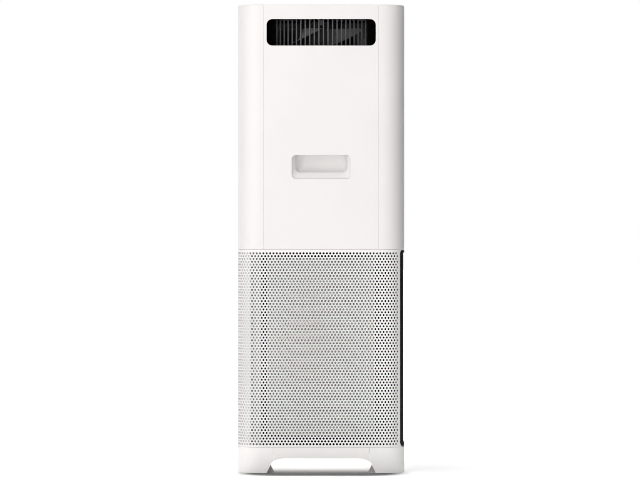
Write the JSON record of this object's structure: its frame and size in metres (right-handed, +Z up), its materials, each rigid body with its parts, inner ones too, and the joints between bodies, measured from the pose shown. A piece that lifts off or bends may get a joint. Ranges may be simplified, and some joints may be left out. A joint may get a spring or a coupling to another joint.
{
  "type": "air purifier",
  "caption": "Square tower air purifier with a perforated intake cover, a slide-out filter cartridge, two stacked fans, a top outlet and a rear outlet window.",
  "frame": {"origin": "on the floor, at the middle of the footprint", "axes": "+Z up; -Y is the rear face with the outlet window and finger recess; +X is the filter drawer side; +Y is the control face"},
  "size_m": [0.262, 0.262, 0.735],
  "materials": {
    "casing": "fine satin texture, warm white",
    "buttons": "satin, warm white",
    "cover": "perforated, satin powder coat, warm white",
    "base": "satin, warm white",
    "inner_frame": "moulded, plain",
    "black_plastic": "fine grain, black",
    "door_mesh": "fine perforated sheet, black",
    "grille_bars": "dark grey",
    "fan_plastic": "moulded, dark grey",
    "foot_rubber": "matte, dark grey",
    "display_glass": "gloss, black",
    "circuit_board": "solder-resist green",
    "steel": "plated",
    "core_pack": "varnished",
    "prefilter_net": "open grey-brown net",
    "filter_paper": "pleated fibre",
    "carbon": "granular",
    "gasket_foam": "closed-cell foam"
  },
  "bodies": {
    "casing": {"bar_grille": "grille_bars", "base_frame": "base", "base_screw_1": "steel", "base_screw_2": "steel", "base_screw_3": "steel", "base_screw_4": "steel", "bell_mouth": "black_plastic", "button_board": "circuit_board", "control_board": "circuit_board", "corner_post_1": "inner_frame", "corner_post_2": "inner_frame", "corner_post_3": "inner_frame", "corner_post_4": "inner_frame", "display_lens": "display_glass", "display_module": "black_plastic", "drawer_rail_front": "inner_frame", "drawer_rail_rear": "inner_frame", "foot_pad_1": "foot_rubber", "foot_pad_2": "foot_rubber", "foot_pad_3": "foot_rubber", "foot_pad_4": "foot_rubber", "front_apron": "base", "front_panel": "casing", "grip_cup": "casing", "left_apron": "base", "left_shell": "casing", "lower_duct": "black_plastic", "lower_motor": "steel", "lower_motor_mount": "fan_plastic", "mid_deck": "inner_frame", "outlet_grille": "black_plastic", "particle_sensor": "black_plastic", "perforated_cover": "cover", "power_board": "circuit_board", "power_inlet": "black_plastic", "rear_apron": "base", "rear_panel": "casing", "right_apron": "base", "right_shell": "casing", "sensor_grille": "black_plastic", "top_frame": "casing", "transformer": "core_pack", "upper_duct": "black_plastic", "upper_motor": "steel", "upper_motor_mount": "fan_plastic"},
    "drawer": {"door_frame": "black_plastic", "door_panel": "door_mesh", "drawer_tray": "black_plastic", "filter_bottom_cap": "black_plastic", "filter_top_cap": "black_plastic", "filter_mesh": "prefilter_net", "filter_media": "filter_paper", "carbon_core": "carbon", "filter_gasket": "gasket_foam"},
    "upper_rotor": {"upper_impeller": "fan_plastic", "upper_shaft": "steel"},
    "lower_rotor": {"lower_impeller": "fan_plastic", "lower_shaft": "steel"},
    "power_key": {"power_button": "buttons"},
    "mode_key": {"mode_button": "buttons"}
  },
  "joints": [
    {"name": "drawer_slide", "type": "slide", "parent": "casing", "child": "drawer", "axis": [1, 0, 0], "range_m": [0, 0.19]},
    {"name": "upper_fan_spin", "type": "hinge", "parent": "casing", "child": "upper_rotor", "pos_m": [0, 0, 0.683], "axis": [0, 0, 1], "continuous": true},
    {"name": "lower_fan_spin", "type": "hinge", "parent": "casing", "child": "lower_rotor", "pos_m": [0, 0, 0.3905], "axis": [0, 0, 1], "continuous": true},
    {"name": "power_button_press", "type": "slide", "parent": "casing", "child": "power_key", "axis": [0, 0, -1], "range_m": [0, 0.001], "stiffness_N_per_m": 600, "springref_m": -0.0008},
    {"name": "mode_button_press", "type": "slide", "parent": "casing", "child": "mode_key", "axis": [0, -1, 0], "range_m": [0, 0.001], "stiffness_N_per_m": 600, "springref_m": -0.0008}
  ]
}
